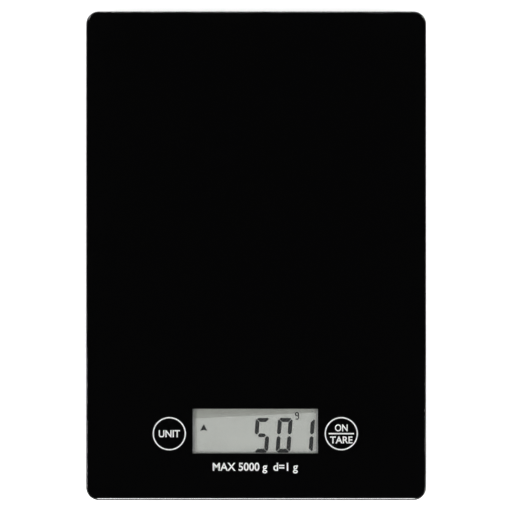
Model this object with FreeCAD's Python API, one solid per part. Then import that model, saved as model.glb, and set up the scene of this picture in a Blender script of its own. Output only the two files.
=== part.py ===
"""Slim glass kitchen scale: a glass platform on one bending beam over a moulded base.

Millimetres, +X to the right, +Y away from the user, +Z up. The origin is on the table under the middle of
the glass. The display is near the front edge, at -Y. Every piece is written to parts/NODE.step.
"""

import FreeCAD, Part

import math
import os

V = FreeCAD.Vector
X, Y, Z = V(1, 0, 0), V(0, 1, 0), V(0, 0, 1)

# ---------------------------------------------------------------- driving sizes

# glass sheet with ground, rounded edges
glass_width = 160.0
glass_depth = 230.0
glass_thickness = 4.0
glass_corner_radius = 6.0
glass_edge_round = 0.8

# prints fired on the underside of the glass
enamel_thickness = 0.10
enamel_shift_y = 0.3
legend_thickness = 0.05
print_shift_x = -0.4
window_width = 59.0
window_depth = 21.0
window_corner_radius = 0.5
window_setback = 32.4
key_offset_x = 40.5
key_setback = 31.6
legend_shift_y = -0.4
key_ring_radius = 7.85
key_ring_width = 0.62
tare_bar_length = 11.9
tare_bar_width = 0.65

# adhesive between glass and tray
tape_thickness = 0.4
tape_width = 6.0
tape_inset = 1.2
tape_strip_width = 9.0
tape_strip_x = 34.0
display_tape_width = 2.4

# housing outline, shared by tray and base
glass_overhang = 4.0
housing_corner_radius = 10.0
housing_edge_break = 0.4

# tray under the glass
tray_plate = 1.8
tray_wall = 1.8
tray_rib_depth = 2.0
tray_rib_x = (30.0, 56.0)
rib_thickness = 1.2
rib_beam_gap = 9.0
rib_row_pitch = 25.0
rib_board_gap = 2.0

# base shell
foot_proud = 1.5
base_floor = 1.8
base_rim_height = 3.7
base_edge_round = 1.6
lip_height = 3.0
lip_wall = 1.5
lip_gap = 1.0
platform_gap = 1.0
platform_travel = 0.6
stop_clearance = 0.05
stop_post_radius = 3.0
stop_post_margin = 3.0
base_rib_clearance = 0.15
base_rib_x = 16.0

# rubber feet
foot_radius = 7.0
foot_seat_depth = 0.8
foot_seat_clearance = 0.1
foot_setback = 18.0
foot_edge_round = 0.5
foot_groove_radius = 4.6
foot_groove_width = 0.8
foot_groove_depth = 0.3

# bending beam
beam_length = 70.0
beam_width = 14.0
beam_height = 6.0
beam_edge_break = 0.4
beam_eye_radius = 2.0
beam_eye_spacing = 14.0
beam_slot_height = 1.6
beam_hole_first = 20.0
beam_hole_pitch = 10.0
beam_pad_height = 1.0
beam_pad_margin = 1.0
beam_spacer_thickness = 0.7
beam_spacer_length = 19.0

# machine screws through the beam ends
screw_radius = 2.0
screw_length = 8.0
screw_head_radius = 3.75
screw_head_rim = 0.3
screw_head_sink = 0.2
screw_hole_clearance = 0.25
screw_thread_clearance = 0.04
cross_length = 4.2
cross_width = 0.8
cross_depth = 1.2

# strain gauges and the resin over them
gauge_length = 6.0
gauge_width = 4.0
gauge_thickness = 0.08
sealant_length = 24.0
sealant_width = 10.0
sealant_thickness = 0.9

# display cell and its frame
display_gap = 0.3
polarizer_thickness = 0.2
polarizer_width = 57.2
polarizer_depth = 24.0
lcd_glass_thickness = 1.1
lcd_width = 64.0
lcd_depth = 29.0
lcd_ledge = 3.0
reflector_thickness = 0.3
lcd_clearance = 0.15
lcd_frame_wall = 1.6
lcd_frame_floor = 1.0
lcd_frame_flange = 1.2
lcd_frame_flange_height = 0.9
lcd_frame_leg = 4.0
lcd_opening_clearance = 0.2
zebra_length = 58.0
zebra_thickness = 2.0
zebra_clearance = 0.3

# circuit board
board_thickness = 1.6
board_depth = 36.0
board_end_margin = 11.5
board_drop = 3.3
board_shift_y = -1.0
board_corner_radius = 1.0
board_screw_inset = 3.2
board_screw_radius = 1.1
board_screw_length = 5.0
board_screw_head_radius = 2.1
board_screw_head_height = 1.4
board_screw_cross = 2.6
board_hole_clearance = 0.2
board_boss_radius = 2.8

# parts soldered under the board
resin_radius = 5.5
resin_height = 1.4
capacitor_size = (3.2, 1.6, 1.2)
resistor_size = (2.0, 1.2, 0.55)
component_pitch = 4.4
crystal_radius = 1.0
crystal_length = 6.0

# touch springs
touch_spring_radius = 4.0
touch_spring_wire = 0.3
touch_spring_turns = 4
touch_spring_room = 0.8

# coin cell, its bay and its door
cell_radius = 10.0
cell_height = 3.2
cell_cap_inset = 1.2
cell_cap_height = 0.3
cell_well_clearance = 0.4
cell_door_gap = 0.3
bay_wall = 1.4
bay_side_wall = 2.0
bay_headroom = 1.0
bay_beam_gap = 17.7
bay_y = 25.0
door_side_margin = 3.0
door_end_margin = 7.0
door_thickness = 1.6
door_clearance = 0.3
door_edge_break = 0.25
door_groove_width = 0.8
door_groove_depth = 0.35
hinge_barrel_radius = 1.3
hinge_pin_radius = 0.7
hinge_pin_clearance = 0.05
hinge_pin_reach = 1.5
latch_width = 9.0
latch_thickness = 0.8
latch_bend_radius = 1.0
latch_leg_height = 1.9
latch_nose = 0.7
latch_nose_height = 0.4
latch_nose_play = 0.1
latch_side_gap = 0.3
latch_nose_room = 0.5
latch_tab_length = 1.4
latch_tab_height = 0.8
contact_thickness = 0.3
contact_width = 5.0
contact_bow = 6.0
contact_end = 2.0
contact_slot_play = 0.1

# wires
gauge_wire_radius = 0.4
battery_wire_radius = 0.6
wire_pitch = 1.6
wire_fall = 11.0
wire_rise = 17.0

# ---------------------------------------------------------------- levels, from the table up

base_bottom = foot_proud
floor_top = base_bottom + base_floor
base_pad_top = floor_top + beam_pad_height
beam_bottom = base_pad_top + beam_spacer_thickness
beam_top = beam_bottom + beam_height
tray_pad_bottom = beam_top + beam_spacer_thickness
tray_bottom = tray_pad_bottom + beam_pad_height
tray_top = tray_bottom + tray_plate
enamel_bottom = tray_top + tape_thickness
glass_bottom = enamel_bottom + enamel_thickness
glass_top = glass_bottom + glass_thickness
legend_bottom = glass_bottom - legend_thickness

rim_top = base_bottom + base_rim_height
lip_top = rim_top + lip_height
skirt_bottom = rim_top + platform_gap

front_glass_top = enamel_bottom - display_gap - polarizer_thickness
front_glass_bottom = front_glass_top - lcd_glass_thickness
rear_glass_bottom = front_glass_bottom - lcd_glass_thickness
reflector_bottom = rear_glass_bottom - reflector_thickness
lcd_frame_bottom = reflector_bottom - lcd_frame_floor
board_top = tray_bottom - board_drop
board_bottom = board_top - board_thickness
board_middle = board_top - board_thickness / 2
deepest_board_part = max(2 * crystal_radius, resin_height, board_screw_head_height)
rib_top = board_bottom - deepest_board_part - platform_travel - base_rib_clearance

door_top = base_bottom + door_thickness
cell_bottom = door_top + cell_door_gap
cell_top = cell_bottom + cell_height
bay_ceiling = cell_top + bay_headroom
bay_top = bay_ceiling + bay_wall
contact_middle = bay_ceiling - contact_thickness / 2

# ---------------------------------------------------------------- places in plan

housing_width = glass_width - 2 * glass_overhang
housing_depth = glass_depth - 2 * glass_overhang
lip_inset = tray_wall + lip_gap
lip_width = housing_width - 2 * lip_inset
lip_depth = housing_depth - 2 * lip_inset
cavity_half_width = lip_width / 2 - lip_wall
cavity_half_depth = lip_depth / 2 - lip_wall

display_y = -glass_depth / 2 + window_setback
key_y = -glass_depth / 2 + key_setback
unit_key = (print_shift_x - key_offset_x, key_y)
tare_key = (print_shift_x + key_offset_x, key_y)
lcd_rear = display_y + lcd_depth / 2
frame_half_width = lcd_width / 2 + lcd_clearance + lcd_frame_wall
frame_half_depth = lcd_depth / 2 + lcd_clearance + lcd_frame_wall

board_width = 2 * (key_offset_x + board_end_margin)
board_y = display_y + board_shift_y
board_rear = board_y + board_depth / 2
board_screw_x = board_width / 2 - board_screw_inset
board_screw_y = board_depth / 2 - board_screw_inset
board_screws_at = [(a * board_screw_x, board_y + b * board_screw_y) for a in (-1, 1) for b in (-1, 1)]

foot_x = glass_width / 2 - foot_setback
foot_y = glass_depth / 2 - foot_setback
post_x = cavity_half_width - stop_post_radius - stop_post_margin
front_post_y = board_rear + stop_post_radius + 2 * stop_post_margin
rear_post_y = foot_y - foot_radius - stop_post_radius - stop_post_margin

beam_holes_y = [beam_hole_first, beam_hole_first + beam_hole_pitch]
beam_fixing_y = sum(beam_holes_y) / 2

door_width = 2 * (cell_radius + door_side_margin)
door_length = 2 * (cell_radius + door_end_margin)
bay_half_width = door_width / 2 + door_clearance + bay_side_wall
bay_x = beam_width / 2 + bay_beam_gap + bay_half_width
cell_well_radius = cell_radius + cell_well_clearance
door_front = bay_y - door_length / 2
door_rear = bay_y + door_length / 2
hinge_y = door_rear - hinge_barrel_radius
hinge_z = base_bottom + hinge_barrel_radius
latch_front = door_front - 2 * latch_bend_radius - latch_thickness
latch_lip_y = latch_front - latch_side_gap
bay_inner_front = latch_front - latch_nose - latch_nose_room
bay_inner_rear = door_rear + door_clearance
bay_front = bay_inner_front - bay_wall
bay_rear = bay_inner_rear + bay_wall
positive_end_y = bay_front - contact_end
negative_end_x = bay_x - bay_half_width - contact_end


# ---------------------------------------------------------------- shape helpers


def box(x0, x1, y0, y1, z0, z1):
    """A box between two corners."""
    return Part.makeBox(x1 - x0, y1 - y0, z1 - z0, V(x0, y0, z0))


def block(half_width, half_depth, z0, z1, x=0.0, y=0.0):
    """A box centred on (x, y), given by its half sizes in plan."""
    return box(x - half_width, x + half_width, y - half_depth, y + half_depth, z0, z1)


def rod(radius, x, y, z0, z1):
    """An upright cylinder between two levels."""
    return Part.makeCylinder(radius, z1 - z0, V(x, y, z0), Z)


def slab(width, depth, radius, z0, z1, x=0.0, y=0.0):
    """An upright prism on a rounded rectangle centred on (x, y)."""
    square = block(width / 2, depth / 2, z0, z1, x, y)
    corners = [edge for edge in square.Edges if edge.BoundBox.ZLength > (z1 - z0) / 2]
    return square.makeFillet(radius, corners)


def edges_at(shape, z):
    """The edges that lie flat at one level."""
    return [e for e in shape.Edges if abs(e.BoundBox.ZMin - z) < 1e-4 and abs(e.BoundBox.ZMax - z) < 1e-4]


def rounded_slab(width, depth, radius, z0, z1, edge_level, edge_round):
    """A slab whose edge at one of its two levels is rounded over."""
    plain = slab(width, depth, radius, z0, z1)
    return plain.makeFillet(edge_round, edges_at(plain, edge_level))


def hollowed(plain, width, depth, radius, wall):
    """A slab cut open upwards and downwards, its wall measured inwards."""
    z0 = plain.BoundBox.ZMin - 1
    z1 = plain.BoundBox.ZMax + 1
    return plain.cut(slab(width - 2 * wall, depth - 2 * wall, radius - wall, z0, z1))


def prism(steps, place, sweep):
    """A prism on a closed outline: a step of two numbers is a straight run, of four an arc by a point."""
    edges = []
    here = place(*steps[0])
    for step in steps[1:] + steps[:1]:
        there = place(*step[-2:])
        if len(step) == 4:
            edges.append(Part.Arc(here, place(*step[:2]), there).toShape())
        else:
            edges.append(Part.LineSegment(here, there).toShape())
        here = there
    return Part.Face(Part.Wire(edges)).extrude(sweep)


def wire_tube(name, points, radius):
    """A round wire through points: straight runs joined by tangent arcs, each as large as its runs allow."""
    share_of_run = 0.45
    points = [V(*point) for point in points]
    start = points[0]
    edges = []
    bends = []
    for before, corner, after in zip(points, points[1:], points[2:]):
        into = corner - before
        out = after - corner
        setback = share_of_run * min(into.Length, out.Length)
        into.normalize()
        out.normalize()
        half_turn = into.getAngle(out) / 2
        bend = setback / math.tan(half_turn)
        inward = (out - into).normalize()
        first = corner - into * setback
        last = corner + out * setback
        middle = corner + inward * (bend / math.cos(half_turn) - bend)
        edges.append(Part.LineSegment(start, first).toShape())
        edges.append(Part.Arc(first, middle, last).toShape())
        bends.append(bend)
        start = last
    edges.append(Part.LineSegment(start, points[-1]).toShape())
    spine = Part.Wire(edges)
    section = Part.Wire(Part.makeCircle(radius, points[0], points[1] - points[0]))
    tube = spine.makePipeShell([section], True, True)
    expected = math.pi * radius**2 * spine.Length
    share_filled = tube.Volume / expected
    print(f"{name}: length {spine.Length:.1f}, tightest bend {min(bends):.1f}, volume {share_filled:.4f}")
    return tube


def cross_recess(x, y, face_z, aim, length, depth):
    """The cross that a driver fits, cut into a head from its face."""
    z0, z1 = sorted((face_z, face_z + aim * depth))
    along = block(length / 2, cross_width / 2, z0, z1, x, y)
    across = block(cross_width / 2, length / 2, z0, z1, x, y)
    return along.fuse(across)


def countersunk(x, y, face_z, aim, gap, length):
    """The plain form of a countersunk screw; aim is +1 for a shank that points up.

    The gap goes round the head's rim and the shank. The cone has none, because a head seats on its cone.
    """
    start = V(x, y, face_z)
    rim = Part.makeCylinder(screw_head_radius + gap, screw_head_rim, start, Z * aim)
    cone_start = start + Z * (aim * screw_head_rim)
    cone_height = screw_head_radius - screw_radius
    cone = Part.makeCone(screw_head_radius, screw_radius, cone_height, cone_start, Z * aim)
    shank = Part.makeCylinder(screw_radius + gap, length, start, Z * aim)
    return rim.fuse([cone, shank]).removeSplitter()


def beam_screw(x, y, face_z, aim):
    """A countersunk machine screw with a cross recess."""
    recess = cross_recess(x, y, face_z, aim, cross_length, cross_depth)
    return countersunk(x, y, face_z, aim, 0.0, screw_length).cut(recess)


def screw_seat(x, y, face_z, aim, reach):
    """The countersink and clearance hole for a beam screw, open to the outside of its wall."""
    outside = face_z - aim
    z0, z1 = sorted((outside, face_z))
    mouth = rod(screw_head_radius + screw_hole_clearance, x, y, z0, z1)
    return countersunk(x, y, face_z, aim, screw_hole_clearance, reach).fuse(mouth)


# ---------------------------------------------------------------- glass and prints


def glass_platform():
    sheet = slab(glass_width, glass_depth, glass_corner_radius, glass_bottom, glass_top)
    return sheet.makeFillet(glass_edge_round, edges_at(sheet, glass_bottom) + edges_at(sheet, glass_top))


def key_ring(x, y):
    outer = rod(key_ring_radius, x, y, legend_bottom, glass_bottom)
    return outer.cut(rod(key_ring_radius - key_ring_width, x, y, legend_bottom, glass_bottom))


def legend_print():
    """White rings round both keys, and the bar between the two words of the right key."""
    x, y = tare_key[0], tare_key[1] + legend_shift_y
    bar = block(tare_bar_length / 2, tare_bar_width / 2, legend_bottom, glass_bottom, x, y)
    return Part.makeCompound([key_ring(unit_key[0], y), key_ring(x, y), bar])


def enamel_print():
    """Black over the flat underside, clear at the display, laid over the white legend and a little off centre."""
    width = glass_width - 2 * glass_edge_round
    depth = glass_depth - 2 * glass_edge_round
    radius = glass_corner_radius - glass_edge_round
    coat = slab(width, depth, radius, enamel_bottom, glass_bottom, print_shift_x, enamel_shift_y)
    window_outline = (window_width, window_depth, window_corner_radius)
    window = slab(*window_outline, enamel_bottom - 1, glass_bottom + 1, print_shift_x, display_y)
    return coat.cut([window] + legend_print().Solids)


def adhesive_tape():
    """A tape frame round the tray, two long strips, and a strip in front of and behind the display."""
    width = housing_width - 2 * tape_inset
    depth = housing_depth - 2 * tape_inset
    radius = housing_corner_radius - tape_inset
    loop = hollowed(slab(width, depth, radius, tray_top, enamel_bottom), width, depth, radius, tape_width)
    strips = []
    strip_front = board_rear + display_tape_width
    strip_rear = depth / 2 - 2 * tape_width
    for side in (-1, 1):
        middle = side * tape_strip_x
        half = tape_strip_width / 2
        strips.append(box(middle - half, middle + half, strip_front, strip_rear, tray_top, enamel_bottom))
        near = display_y + side * (frame_half_depth + 2 * lcd_opening_clearance)
        far = near + side * display_tape_width
        y0, y1 = sorted((near, far))
        strips.append(box(-polarizer_width / 2, polarizer_width / 2, y0, y1, tray_top, enamel_bottom))
    return Part.makeCompound([loop] + strips)


# ---------------------------------------------------------------- tray under the glass


def tray_ribs():
    """A grid of ribs under the plate that stays clear of the beam, the board and the stop posts."""
    half = rib_thickness / 2
    z0 = tray_bottom - tray_rib_depth
    front = board_rear + rib_board_gap
    rear = (housing_depth - tray_wall) / 2
    reach = (housing_width - tray_wall) / 2
    ribs = []
    for x in tray_rib_x:
        for side in (-1, 1):
            ribs.append(box(side * x - half, side * x + half, front, rear, z0, tray_bottom))
    first_row = beam_length / 2 + beam_pad_margin + rib_beam_gap
    for y in (-first_row, first_row, first_row + rib_row_pitch):
        ribs.append(block(reach, half, z0, tray_bottom, 0, y))
    return ribs


def platform_tray():
    """Plate, skirt, ribs, beam pad and board bosses, moulded in one."""
    outline = (housing_width, housing_depth, housing_corner_radius)
    plate = rounded_slab(*outline, tray_bottom, tray_top, tray_top, housing_edge_break)
    skirt = rounded_slab(*outline, skirt_bottom, tray_bottom, skirt_bottom, housing_edge_break)
    skirt = hollowed(skirt, *outline, tray_wall)
    half_width = beam_width / 2 + beam_pad_margin
    half_length = beam_spacer_length / 2 + beam_pad_margin
    pad = block(half_width, half_length, tray_pad_bottom, tray_bottom, 0, -beam_fixing_y)
    bosses = [rod(board_boss_radius, x, y, board_top, tray_bottom) for x, y in board_screws_at]
    tray = plate.fuse([skirt, pad] + bosses + tray_ribs()).removeSplitter()

    opening_x = frame_half_width + lcd_opening_clearance
    opening_y = frame_half_depth + lcd_opening_clearance
    display_opening = block(opening_x, opening_y, tray_bottom, tray_top, 0, display_y)
    hole_radius = touch_spring_radius + touch_spring_wire + touch_spring_room
    spring_holes = [rod(hole_radius, x, y, tray_bottom, tray_top) for x, y in (unit_key, tare_key)]
    head_face = tray_top - screw_head_sink
    seats = [screw_seat(0, -y, head_face, -1, head_face - tray_pad_bottom + 1) for y in beam_holes_y]
    pilot_radius = board_screw_radius + screw_thread_clearance
    pilot_top = board_bottom + board_screw_length + stop_clearance
    pilots = [rod(pilot_radius, x, y, board_top, pilot_top) for x, y in board_screws_at]
    return tray.cut([display_opening] + spring_holes + seats + pilots)


def tray_beam_spacer():
    return beam_spacer(-beam_fixing_y, beam_top, [-y for y in beam_holes_y])


def tray_beam_screws():
    return Part.makeCompound([beam_screw(0, -y, tray_top - screw_head_sink, -1) for y in beam_holes_y])


# ---------------------------------------------------------------- display


def lcd_front_polarizer():
    top = front_glass_top + polarizer_thickness
    return block(polarizer_width / 2, polarizer_depth / 2, front_glass_top, top, print_shift_x, display_y)


def display_sheet(ledge, z0, z1):
    """A sheet of the display cell, as much shorter at the rear as its contact ledge."""
    return box(-lcd_width / 2, lcd_width / 2, lcd_rear - lcd_depth, lcd_rear - ledge, z0, z1)


def lcd_front_glass():
    return display_sheet(0.0, front_glass_bottom, front_glass_top)


def lcd_rear_glass():
    return display_sheet(lcd_ledge, rear_glass_bottom, front_glass_bottom)


def lcd_reflector():
    return display_sheet(lcd_ledge, reflector_bottom, rear_glass_bottom)


def zebra_seat(clearance):
    """The strip under the contact ledge of the display, grown by a clearance."""
    half_length = zebra_length / 2 + clearance
    half_thickness = zebra_thickness / 2 + clearance
    return block(half_length, half_thickness, board_top, front_glass_bottom, 0, lcd_rear - lcd_ledge / 2)


def lcd_frame():
    """A tray round the display cell, trapped between the platform tray and the board."""
    outer = block(frame_half_width, frame_half_depth, lcd_frame_bottom, tray_top, 0, display_y)
    pocket_x = frame_half_width - lcd_frame_wall
    pocket_y = frame_half_depth - lcd_frame_wall
    pocket = block(pocket_x, pocket_y, reflector_bottom, tray_top + 1, 0, display_y)
    pieces = []
    leg = lcd_frame_leg
    for side in (-1, 1):
        edge = display_y + side * frame_half_depth
        y0, y1 = sorted((edge, edge + side * lcd_frame_flange))
        flange_bottom = tray_bottom - lcd_frame_flange_height
        pieces.append(box(-frame_half_width, frame_half_width, y0, y1, flange_bottom, tray_bottom))
        x0, x1 = sorted((side * frame_half_width, side * (frame_half_width - leg)))
        front = display_y - frame_half_depth
        rear = display_y + frame_half_depth
        pieces.append(box(x0, x1, front, front + leg, board_top, lcd_frame_bottom))
        pieces.append(box(x0, x1, rear - leg, rear, board_top, lcd_frame_bottom))
    body = outer.fuse(pieces).removeSplitter()
    return body.cut([pocket, zebra_seat(zebra_clearance)])


def zebra_strip():
    return zebra_seat(0.0)


# ---------------------------------------------------------------- circuit board


def circuit_board():
    board = slab(board_width, board_depth, board_corner_radius, board_bottom, board_top, 0, board_y)
    hole_radius = board_screw_radius + board_hole_clearance
    return board.cut([rod(hole_radius, x, y, board_bottom, board_top) for x, y in board_screws_at])


def board_screw(x, y):
    """A self-tapping pan head screw that comes up from below the board."""
    face = board_bottom - board_screw_head_height
    head = rod(board_screw_head_radius, x, y, face, board_bottom)
    head = head.makeFillet(board_screw_head_height / 3, edges_at(head, face))
    shank = rod(board_screw_radius, x, y, board_bottom, board_bottom + board_screw_length)
    recess = cross_recess(x, y, face, 1, board_screw_cross, board_screw_head_height / 2)
    return head.fuse(shank).cut(recess)


def board_screws():
    return Part.makeCompound([board_screw(x, y) for x, y in board_screws_at])


def controller_chip():
    """The bare chip under its drop of black resin: a flat dome below the board."""
    ball_radius = (resin_radius**2 + resin_height**2) / (2 * resin_height)
    centre = V(0, board_y, board_bottom - resin_height + ball_radius)
    ball = Part.makeSphere(ball_radius, centre)
    below = rod(resin_radius * 2, 0, board_y, board_bottom - 2 * resin_height, board_bottom)
    return ball.common(below)


def component_row(count, size, x, y):
    """Small chips in a row along X, hung under the board."""
    length, width, height = size
    row = []
    for place in range(count):
        left = x + place * component_pitch
        row.append(box(left, left + width, y, y + length, board_bottom - height, board_bottom))
    return row


def board_capacitors():
    return Part.makeCompound(component_row(4, capacitor_size, 2 * resin_radius, board_y + resin_radius))


def board_resistors():
    left = component_row(5, resistor_size, -4 * resin_radius, board_y - 2 * resin_radius)
    right = component_row(3, resistor_size, 2 * resin_radius, board_y - 2 * resin_radius)
    return Part.makeCompound(left + right)


def crystal():
    """A tuning-fork crystal in its can, lying under the board."""
    start = V(-4 * resin_radius, board_y + resin_radius, board_bottom - crystal_radius)
    return Part.makeCylinder(crystal_radius, crystal_length, start, X)


def touch_spring(x, y):
    """A coil from the board up to the enamel under one key."""
    height = enamel_bottom - board_top - 2 * touch_spring_wire
    helix = Part.makeHelix(height / touch_spring_turns, height, touch_spring_radius)
    section = Part.Wire(Part.makeCircle(touch_spring_wire, X * touch_spring_radius, Y))
    coil = Part.Wire(helix).makePipeShell([section], True, True)
    coil.translate(V(x, y, board_top + touch_spring_wire))
    return coil


def touch_spring_unit():
    return touch_spring(*unit_key)


def touch_spring_tare():
    return touch_spring(*tare_key)


# ---------------------------------------------------------------- bending beam


def beam_spacer(middle, bottom, holes):
    """A steel shim as wide as the beam, with two clearance holes."""
    half = beam_spacer_length / 2
    top = bottom + beam_spacer_thickness
    shim = box(-beam_width / 2, beam_width / 2, middle - half, middle + half, bottom, top)
    return shim.cut([rod(screw_radius + screw_hole_clearance, 0, y, bottom, top) for y in holes])


def base_beam_spacer():
    return beam_spacer(beam_fixing_y, base_pad_top, beam_holes_y)


def base_beam_screws():
    return Part.makeCompound([beam_screw(0, y, base_bottom + screw_head_sink, 1) for y in beam_holes_y])


def load_cell():
    """An aluminium beam, thinned above and below two joined eyes so that it bends there."""
    half_width = beam_width / 2
    half_length = beam_length / 2
    bar = box(-half_width, half_width, -half_length, half_length, beam_bottom, beam_top)
    long_edges = [edge for edge in bar.Edges if edge.BoundBox.YLength > half_length]
    bar = bar.makeChamfer(beam_edge_break, long_edges)
    middle = (beam_bottom + beam_top) / 2
    cuts = []
    for side in (-1, 1):
        centre = V(-half_width, side * beam_eye_spacing / 2, middle)
        cuts.append(Part.makeCylinder(beam_eye_radius, beam_width, centre, X))
        for y in beam_holes_y:
            cuts.append(rod(screw_radius + screw_thread_clearance, 0, side * y, beam_bottom, beam_top))
    half_slot = beam_slot_height / 2
    half_eyes = beam_eye_spacing / 2
    cuts.append(box(-half_width, half_width, -half_eyes, half_eyes, middle - half_slot, middle + half_slot))
    return bar.cut(cuts)


def strain_gauges():
    """Foil gauges over the thinned places, two on top and two below."""
    foils = []
    for side in (-1, 1):
        middle = side * beam_eye_spacing / 2
        y0 = middle - gauge_length / 2
        y1 = middle + gauge_length / 2
        half = gauge_width / 2
        foils.append(box(-half, half, y0, y1, beam_top, beam_top + gauge_thickness))
        foils.append(box(-half, half, y0, y1, beam_bottom - gauge_thickness, beam_bottom))
    return Part.makeCompound(foils)


def gauge_sealant():
    """White resin pads that keep damp off the gauges."""
    pads = []
    for z0, z1 in ((beam_top, beam_top + sealant_thickness), (beam_bottom - sealant_thickness, beam_bottom)):
        pad = slab(sealant_width, sealant_length, sealant_width / 4, z0, z1)
        pads.append(pad.cut(strain_gauges().Solids))
    return Part.makeCompound(pads)


# ---------------------------------------------------------------- base shell


def bay_walls():
    """The box round the coin cell, with a round well that centres it."""
    inner = bay_half_width - bay_side_wall
    outer = box(bay_x - bay_half_width, bay_x + bay_half_width, bay_front, bay_rear, floor_top, bay_top)
    hollow = box(bay_x - inner, bay_x + inner, bay_inner_front, bay_inner_rear, floor_top - 1, bay_ceiling)
    well = rod(cell_well_radius + bay_wall, bay_x, bay_y, cell_bottom, bay_ceiling)
    well = well.cut(rod(cell_well_radius, bay_x, bay_y, cell_bottom, bay_ceiling))
    return outer.cut(hollow).fuse(well)


def bay_cuts():
    """Door pocket, latch notch, hinge bores, and the slots that the contacts pass through."""
    half = door_width / 2 + door_clearance
    latch_half = latch_width / 2 + door_clearance
    pocket_front = door_front - door_clearance
    below = base_bottom - 1
    pocket = box(bay_x - half, bay_x + half, pocket_front, bay_inner_rear, below, floor_top)
    notch = box(bay_x - latch_half, bay_x + latch_half, latch_lip_y, pocket_front, below, floor_top)
    bore_start = V(bay_x - bay_half_width, hinge_y, hinge_z)
    bores = Part.makeCylinder(hinge_pin_radius + hinge_pin_clearance, 2 * bay_half_width, bore_start, X)

    strip = contact_width / 2 + contact_slot_play
    strip_low = bay_ceiling - contact_thickness - contact_slot_play
    well_front = bay_y - cell_well_radius - bay_wall
    well_notch = box(bay_x - strip, bay_x + strip, well_front, bay_y - cell_radius, cell_bottom, bay_ceiling)
    positive_slot = box(bay_x - strip, bay_x + strip, bay_front, bay_y, strip_low, bay_ceiling)
    negative_slot = box(bay_x - bay_half_width, bay_x, bay_y - strip, bay_y + strip, strip_low, bay_ceiling)
    return [pocket, notch, bores, well_notch, positive_slot, negative_slot]


def base_ribs():
    """Stiffening ribs on the floor, clear of the battery bay and the beam pad."""
    half = rib_thickness / 2
    reach_y = cavity_half_depth + lip_wall / 2
    reach_x = cavity_half_width + lip_wall / 2
    ribs = []
    for side in (-1, 1):
        ribs.append(block(half, reach_y, floor_top, rib_top, side * base_rib_x))
    front_row = -(beam_length / 2 + beam_pad_margin + rib_beam_gap)
    rear_row = bay_rear + rib_beam_gap
    for y in (board_y, front_row, rear_row, rear_row + rib_row_pitch):
        ribs.append(block(reach_x, half, floor_top, rib_top, 0, y))
    return ribs


def base_shell():
    """Floor, rim, inner lip, ribs, stop posts, beam pad and battery bay, moulded in one."""
    outline = (housing_width, housing_depth, housing_corner_radius)
    lip_outline = (lip_width, lip_depth, housing_corner_radius - lip_inset)
    floor = rounded_slab(*outline, base_bottom, floor_top, base_bottom, base_edge_round)
    rim = rounded_slab(*outline, floor_top, rim_top, rim_top, housing_edge_break)
    rim = hollowed(rim, *outline, tray_wall)
    lip = hollowed(slab(*lip_outline, floor_top, lip_top), *lip_outline, lip_wall)
    half_width = beam_width / 2 + beam_pad_margin
    half_length = beam_spacer_length / 2 + beam_pad_margin
    pad = block(half_width, half_length, floor_top, base_pad_top, 0, beam_fixing_y)
    post_top = tray_bottom - platform_travel - stop_clearance
    posts = []
    feet = []
    for side in (-1, 1):
        for y in (front_post_y, rear_post_y):
            posts.append(rod(stop_post_radius, side * post_x, y, floor_top, post_top))
        for y in (-foot_y, foot_y):
            seat_radius = foot_radius + foot_seat_clearance
            feet.append(rod(seat_radius, side * foot_x, y, base_bottom - 1, base_bottom + foot_seat_depth))
    head_face = base_bottom + screw_head_sink
    seats = [screw_seat(0, y, head_face, 1, base_pad_top - head_face + 1) for y in beam_holes_y]
    shell = floor.fuse([rim, lip, pad, bay_walls()] + posts + base_ribs()).removeSplitter()
    return shell.cut(feet + seats + bay_cuts())


def foot(x, y):
    """A rubber foot pressed into its seat, with a ring groove in its face."""
    top = base_bottom + foot_seat_depth
    pad = rod(foot_radius, x, y, 0, top)
    pad = pad.makeFillet(foot_edge_round, edges_at(pad, 0))
    groove = rod(foot_groove_radius, x, y, 0, foot_groove_depth)
    groove = groove.cut(rod(foot_groove_radius - foot_groove_width, x, y, 0, foot_groove_depth))
    return pad.cut(groove)


# ---------------------------------------------------------------- coin cell, contacts and door


def coin_cell():
    """A coin cell with its positive can towards the door and its smaller negative cap up."""
    can = rod(cell_radius, bay_x, bay_y, cell_bottom, cell_top - cell_cap_height)
    rounded = edges_at(can, cell_bottom) + edges_at(can, cell_top - cell_cap_height)
    can = can.makeFillet(cell_cap_height, rounded)
    cap = rod(cell_radius - cell_cap_inset, bay_x, bay_y, cell_top - cell_cap_height, cell_top)
    return can.fuse(cap)


def battery_contact_positive():
    """A strip that touches the side of the can and leaves over the latch."""
    side = bay_y - cell_radius
    low = cell_bottom + contact_thickness
    inner_top = bay_ceiling - contact_thickness
    steps = [
        (side, low), (side, bay_ceiling), (positive_end_y, bay_ceiling), (positive_end_y, inner_top),
        (side - contact_thickness, inner_top), (side - contact_thickness, low),
    ]
    start = bay_x - contact_width / 2
    return prism(steps, lambda y, z: V(start, y, z), X * contact_width)


def battery_contact_negative():
    """A strip under the bay ceiling with a bow that presses on the cap."""
    low = bay_ceiling - contact_thickness
    far = bay_x + contact_bow + contact_end
    bow_left = bay_x - contact_bow
    bow_right = bay_x + contact_bow
    steps = [
        (negative_end_x, low), (bow_left, low), (bay_x, cell_top, bow_right, low),
        (far, low), (far, bay_ceiling), (bow_right, bay_ceiling),
        (bay_x, cell_top + contact_thickness, bow_left, bay_ceiling), (negative_end_x, bay_ceiling),
    ]
    start = bay_y - contact_width / 2
    return prism(steps, lambda x, z: V(x, start, z), Y * contact_width)


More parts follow.
